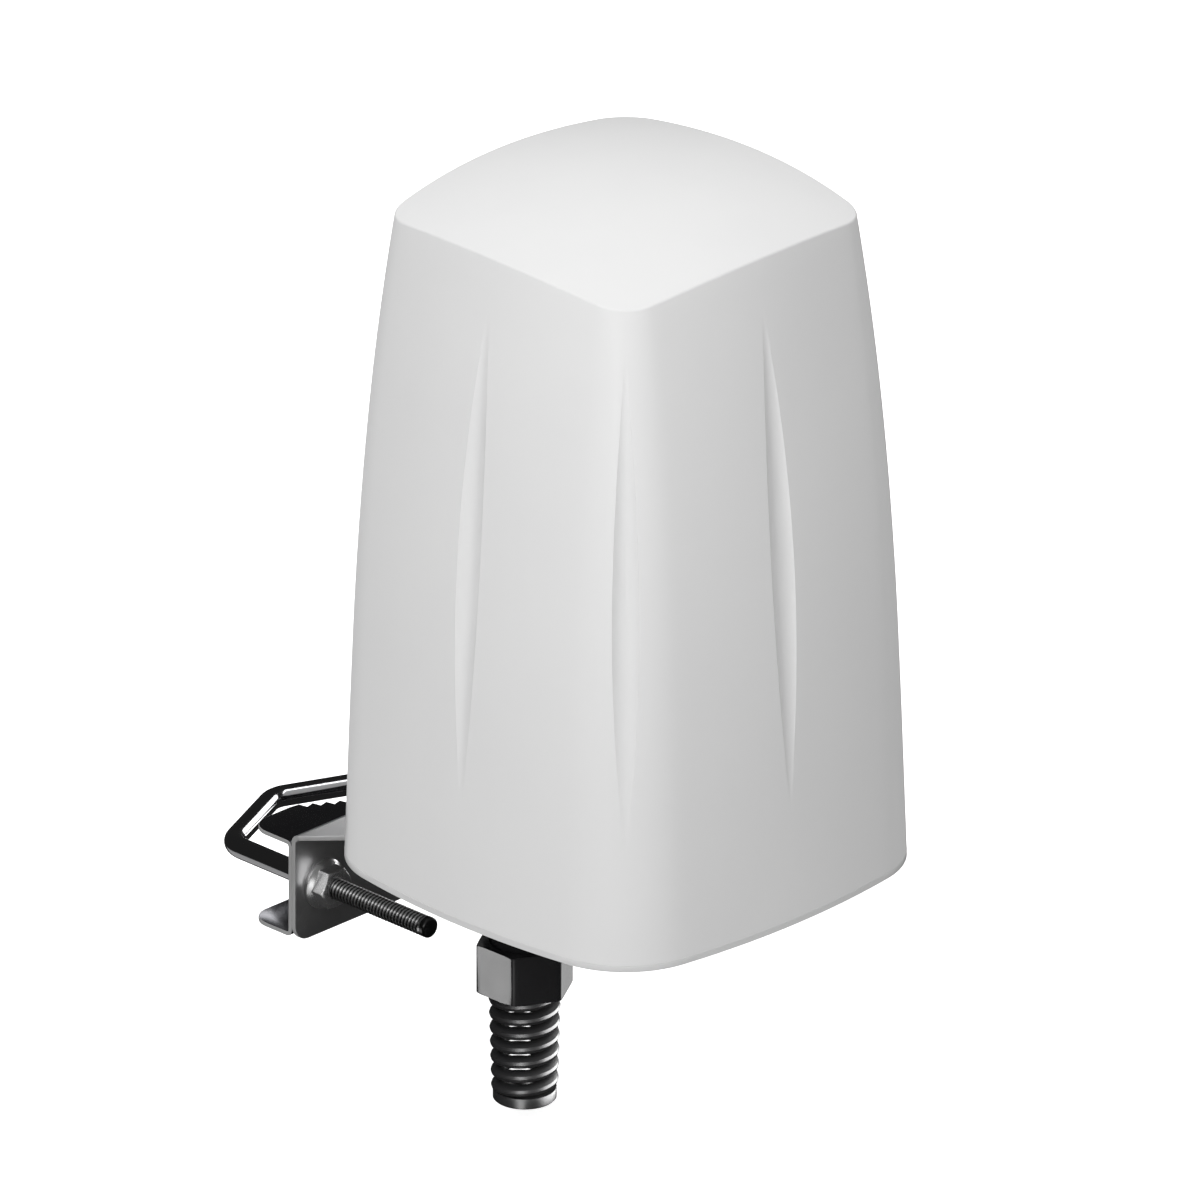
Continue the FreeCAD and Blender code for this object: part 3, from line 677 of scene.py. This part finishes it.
def make_materials():
    """The materials, by the name of the slot or finish that takes each."""
    return {
        "radome_plastic": moulded("radome_white", (0.80, 0.80, 0.80), (0.82, 0.82, 0.818), 0.30,
                                  Coat_Weight=0.15, Coat_Roughness=0.15),
        # Painted shade: the base is a little darker than the radome's white, so that its rim under the
        # radome reads as shaded.
        "base_plastic": moulded("base_white", (0.70, 0.70, 0.70), (0.72, 0.72, 0.72), 0.36),
        "seal_rubber": moulded("seal_black", (0.012, 0.012, 0.012), (0.02, 0.02, 0.02), 0.7),
        "screw_steel": metal("screw_steel", (0.50, 0.50, 0.51), (0.60, 0.60, 0.61), 0.30),
        "arm_zinc": metal("arm_zinc", (0.38, 0.38, 0.385), (0.45, 0.45, 0.455), 0.42, (1.0, 6.0, 6.0),
                          strength=0.03, Metallic=0.93),
        "jaw_steel": metal("jaw_steel", (0.24, 0.24, 0.26), (0.29, 0.29, 0.31), 0.26, (1.0, 6.0, 6.0),
                           strength=0.006, vary=0.02),
        # Painted highlight: lighter, mattier metal on the sheets' cut edges and rounds, so that the
        # edges read as lit.
        "cut_edge": metal("cut_edge", (0.40, 0.40, 0.40), (0.50, 0.50, 0.50), 0.5, (6.0, 6.0, 1.0),
                          Metallic=0.25),
        "nut_zinc": metal("nut_zinc", (0.50, 0.50, 0.50), (0.58, 0.58, 0.58), 0.26,
                          strength=0.006, vary=0.02, Metallic=0.92),
        # Painted shade: near-black steel standing in for the shade in the thread's grooves and on the
        # rod's ends.
        "thread_root": metal("thread_root", (0.05, 0.05, 0.05), (0.08, 0.08, 0.08), 0.35),
        "thread_crest": metal("thread_crest", (0.42, 0.42, 0.42), (0.50, 0.50, 0.50), 0.36,
                              strength=0.02),
        "polished_steel": metal("polished_steel", (0.42, 0.42, 0.43), (0.48, 0.48, 0.49), 0.14),
        "brass": metal("turned_brass", (0.62, 0.42, 0.16), (0.72, 0.52, 0.22), 0.28),
        "relief_black": moulded("relief_black", (0.014, 0.014, 0.015), (0.02, 0.02, 0.021), 0.42,
                                Specular_IOR_Level=0.7),
        "black_nylon": moulded("gland_black", (0.012, 0.012, 0.013), (0.018, 0.018, 0.019), 0.24,
                               Specular_IOR_Level=0.6),
        "vent_nylon": moulded("vent_black", (0.02, 0.02, 0.021), (0.03, 0.03, 0.031), 0.5),
        "membrane": moulded("membrane_white", (0.70, 0.70, 0.68), (0.78, 0.78, 0.76), 0.8),
        "aluminium": metal("drawn_aluminium", (0.70, 0.71, 0.72), (0.80, 0.81, 0.82), 0.34,
                           (6.0, 6.0, 1.0)),
        "grey_nylon": moulded("inner_grey", (0.36, 0.37, 0.38), (0.44, 0.45, 0.46), 0.5),
        "circuit_board": moulded("board_green", (0.01, 0.09, 0.035), (0.02, 0.13, 0.05), 0.35),
        "copper": metal("etched_copper", (0.70, 0.32, 0.18), (0.82, 0.42, 0.26), 0.25),
        "coax_jacket": moulded("coax_brown", (0.16, 0.07, 0.03), (0.22, 0.10, 0.05), 0.4),
        "tinned_steel": metal("tinned_steel", (0.60, 0.60, 0.58), (0.70, 0.70, 0.68), 0.32),
    }


# Finishes of the pieces that differ from their slot. A second one is for the faces that ask for it.
FINISHES = {"arm_sheet": ["arm_zinc", "cut_edge"], "jaw_sheet": ["jaw_steel", "cut_edge"],
            "nut_left_body": ["nut_zinc"], "nut_right_body": ["nut_zinc"],
            "v_bolt_threads": ["thread_crest", "thread_root"],
            "gland_relief": ["relief_black"]}


def paint(materials):
    """Gives every piece and CAD node its materials: its own finish, or that of its slot. A mesh's
    list of materials is filled and not cleared, because clearing it would reset its faces' choice."""
    slot_of = {s["node"]: s["material_slot"] for s in frame["record"]["subparts"]}
    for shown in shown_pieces():
        names = FINISHES.get(shown.name) or [shown.get("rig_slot") or slot_of[shown.name]]
        while len(shown.data.materials) < len(names):
            shown.data.materials.append(None)
        for k in range(len(shown.data.materials)):
            shown.data.materials[k] = materials[names[min(k, len(names) - 1)]]


# ---- stage ---------------------------------------------------------------------------------------
FILL = 0.46                 # brightness of the surroundings on matt surfaces
GLOSS_LEVEL = 0.025         # brightness of the surroundings in reflections
FLOOR_GAP = 0.006           # clear of the gland nut where it is screwed furthest out
HEAD_MIDDLE = HEAD + Vector((0, 0, 0.10))


def softbox(name, direction, distance, size, power, reflected_in=(), aim=HEAD_MIDDLE):
    """Rectangular area lamp that faces the point aim, at a distance in a direction from it. Without
    a list of pieces it lights matt surfaces everywhere and shows in no reflection. With one it only
    makes reflections, and only in those pieces."""
    light = bpy.data.lights.new(name, "AREA")
    light.shape = "RECTANGLE"
    light.size, light.size_y = size
    light.energy = power
    made = bpy.data.objects.new(name, light)
    made.location = aim + Vector(direction).normalized() * distance
    made.rotation_mode = "QUATERNION"
    made.rotation_quaternion = (aim - made.location).to_track_quat("-Z", "Y")
    made.visible_diffuse = not reflected_in
    made.visible_glossy = bool(reflected_in)
    made.visible_camera = False
    bpy.context.scene.collection.objects.link(made)
    if reflected_in:
        group = bpy.data.collections.new(name + "_receivers")
        for shown in reflected_in:
            group.objects.link(bpy.data.objects[shown])
        made.light_linking.receiver_collection = group
    return made


def make_floor():
    """Pale floor that the object doesn't reflect or take light from."""
    mesh = bpy.data.meshes.new("floor")
    half = 8.0
    z = cad_low.z - FLOOR_GAP
    corners = [(-half, -half, z), (half, -half, z), (half, half, z), (-half, half, z)]
    mesh.from_pydata(corners, [], [(0, 1, 2, 3)])
    floor = bpy.data.objects.new("floor", mesh)
    bpy.context.scene.collection.objects.link(floor)
    pale = Nodes("floor_pale")
    pale.link(pale.ramp(pale.noise(3.0), (0.90, 0.90, 0.90), (0.92, 0.92, 0.92)), "Base Color")
    pale.set(Roughness=0.9, Emission_Color=(1, 1, 1, 1), Emission_Strength=0.75)
    mesh.materials.append(pale.material)
    floor.visible_glossy = False
    floor.visible_diffuse = False


def make_lamps():
    """Lamps for the matt surfaces, and lamps that show as bright bands in the pieces they name."""
    bolt, thread, nuts = ["v_bolt_rod"], ["v_bolt_threads"], ["nut_left_body", "nut_right_body"]
    arm, jaw, radome = ["arm_sheet"], ["jaw_sheet"], ["radome_shell"]
    gland, relief = ["gland_nut_moulding"], ["gland_relief"]
    softbox("key", (-0.77, -0.38, 0.50), 1.3, (1.0, 1.0), 9)
    key_gloss = softbox("key_gloss", (-0.72, -0.42, 0.50), 1.3, (1.0, 1.0), 8.5, radome)
    spared = key_gloss.light_linking.receiver_collection.collection_objects[0]
    spared.light_linking.link_state = "EXCLUDE"     # the other way round: all pieces but the radome
    softbox("top", (0.3, 0.3, 1.0), 1.4, (1.2, 1.2), 6)
    softbox("back_soft", (0.6, 0.6, 0.5), 1.4, (1.0, 1.0), 8)
    softbox("upper_front", (-0.55, -0.80, 0.45), 0.32, (0.12, 0.12), 0.07)
    softbox("left_rim", (0.08, 0.90, -0.42), 1.2, (1.3, 0.9), 2, radome)
    softbox("right_rim", (0.90, 0.08, -0.36), 1.2, (0.9, 0.9), 1.2, radome)
    softbox("corner", (-0.880, -0.449, -0.150), 1.2, (0.12, 0.20), 0.32, radome)
    softbox("overhead", (0.14, -0.50, 0.80), 1.2, (0.95, 0.95), 11, bolt)
    softbox("right", (1.0, 0.02, 0.06), 1.3, (0.4, 0.95), 5, bolt + nuts + thread)
    softbox("back", (0.45, 0.25, 0.86), 1.2, (0.45, 0.45), 7.5, arm)
    softbox("low_front", (-0.2, -0.93, -0.15), 1.2, (0.8, 0.6), 2.2, bolt + nuts)
    softbox("arm_front", (-0.2, -0.93, -0.15), 1.2, (0.8, 0.6), 1.3, arm)
    softbox("low_left", (-0.30, 0.66, -0.66), 1.2, (0.9, 0.6), 0.9, bolt + nuts)
    softbox("thread_left", (-0.55, 0.64, -0.52), 1.2, (0.7, 0.5), 2.2, thread)
    softbox("nut_left", (-0.685, 0.641, 0.345), 1.2, (0.6, 0.6), 2.2, nuts)
    softbox("nut_flange", (-0.45, -0.80, -0.38), 1.2, (0.8, 0.8), 1.8, nuts)
    softbox("gland_left", (-0.67, 0.61, -0.42), 1.2, (0.36, 0.40), 2.8, gland)
    softbox("gland_right", (0.95, -0.10, -0.35), 1.2, (2.0, 1.2), 9, gland)
    softbox("gland_front", (-0.62, -0.62, -0.47), 1.2, (0.8, 0.9), 2.2, gland)
    softbox("relief_right", (0.80, -0.55, 0.12), 1.2, (1.9, 1.5), 140, relief)
    softbox("relief_front", (-0.79, -0.44, -0.20), 1.2, (0.25, 1.6), 24, relief)
    plate = Vector((-LEG_X - 8.5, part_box("flange_nut_left")[1].y / MM, 6.0)) * MM
    softbox("plate_patch", (0.64, -0.64, -0.42), 0.004, (0.005, 0.007), 0.00012, arm, plate)
    flange = Vector((-LEG_X - 9.3, -6.0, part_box("clamp_jaw")[0].z / MM + 1.2)) * MM
    softbox("jaw_patch", (0.64, 0.64, 0.42), 0.018, (0.010, 0.008), 0.0004, jaw, flange)


def make_world():
    """Surroundings: white to the camera, a soft fill on matt surfaces, nearly dark in reflections."""
    world = bpy.data.worlds.new("studio")
    bpy.context.scene.world = world
    world.use_nodes = True
    tree = world.node_tree
    path = tree.nodes.new("ShaderNodeLightPath")
    to_camera = tree.nodes.new("ShaderNodeMath")
    to_camera.operation = "MULTIPLY_ADD"
    tree.links.new(path.outputs["Is Camera Ray"], to_camera.inputs[0])
    to_camera.inputs[1].default_value = 1.0 - FILL
    to_camera.inputs[2].default_value = FILL
    in_gloss = tree.nodes.new("ShaderNodeMath")
    in_gloss.operation = "MULTIPLY_ADD"
    tree.links.new(path.outputs["Is Glossy Ray"], in_gloss.inputs[0])
    in_gloss.inputs[1].default_value = GLOSS_LEVEL - FILL
    tree.links.new(to_camera.outputs["Value"], in_gloss.inputs[2])
    tree.links.new(in_gloss.outputs["Value"], tree.nodes["Background"].inputs["Strength"])
    tree.nodes["Background"].inputs["Color"].default_value = (1, 1, 1, 1)


def make_camera():
    """Camera with no perspective, 45 degrees round to the left and 24.9 degrees up."""
    azimuth, elevation = math.radians(-45.0), math.radians(24.9)
    distance, width = 1.5, 0.34286
    off_right, off_up = -7.33, 72.63       # middle of the view from the rim's centre, in millimetres
    back = Vector((math.sin(azimuth) * math.cos(elevation), -math.cos(azimuth) * math.cos(elevation),
                   math.sin(elevation)))
    right = Vector((math.cos(azimuth), math.sin(azimuth), 0))
    up = back.cross(right)
    target = HEAD + right * off_right * MM + up * off_up * MM
    camera = bpy.data.objects.new("camera", bpy.data.cameras.new("camera"))
    camera.data.type = "ORTHO"
    camera.data.ortho_scale = width
    camera.location = target + back * distance
    camera.rotation_mode = "QUATERNION"
    camera.rotation_quaternion = (-back).to_track_quat("-Z", "Y")
    bpy.context.scene.collection.objects.link(camera)
    bpy.context.scene.camera = camera


make_camera()
build_radome()
build_v_bolt()
build_gland_nut()
softened("arm_sheet", "mounting_arm", "antenna", "sheet_steel", 0.16, sheet=1.5)
softened("jaw_sheet", "clamp_jaw", "antenna", "sheet_steel", 0.14, sheet=1.2)
softened("nut_left_body", "flange_nut_left", "nut_left", "polished_steel", 0.22)
softened("nut_right_body", "flange_nut_right", "nut_right", "polished_steel", 0.22)
softened("gland_body_moulding", "gland_body", "antenna", "black_nylon", 0.3)
softened("base_moulding", "base_plate", "antenna", "base_plastic", 0.45)
softened("vent_moulding", "vent_plug", "antenna", "vent_nylon", 0.25)
softened("base_screw_bodies", "base_screws", "antenna", "screw_steel", 0.15)
softened("arm_screw_bodies", "arm_screws", "antenna", "screw_steel", 0.15)
paint(make_materials())
make_floor()
make_world()
make_lamps()
bpy.context.scene.view_settings.view_transform = "Standard"
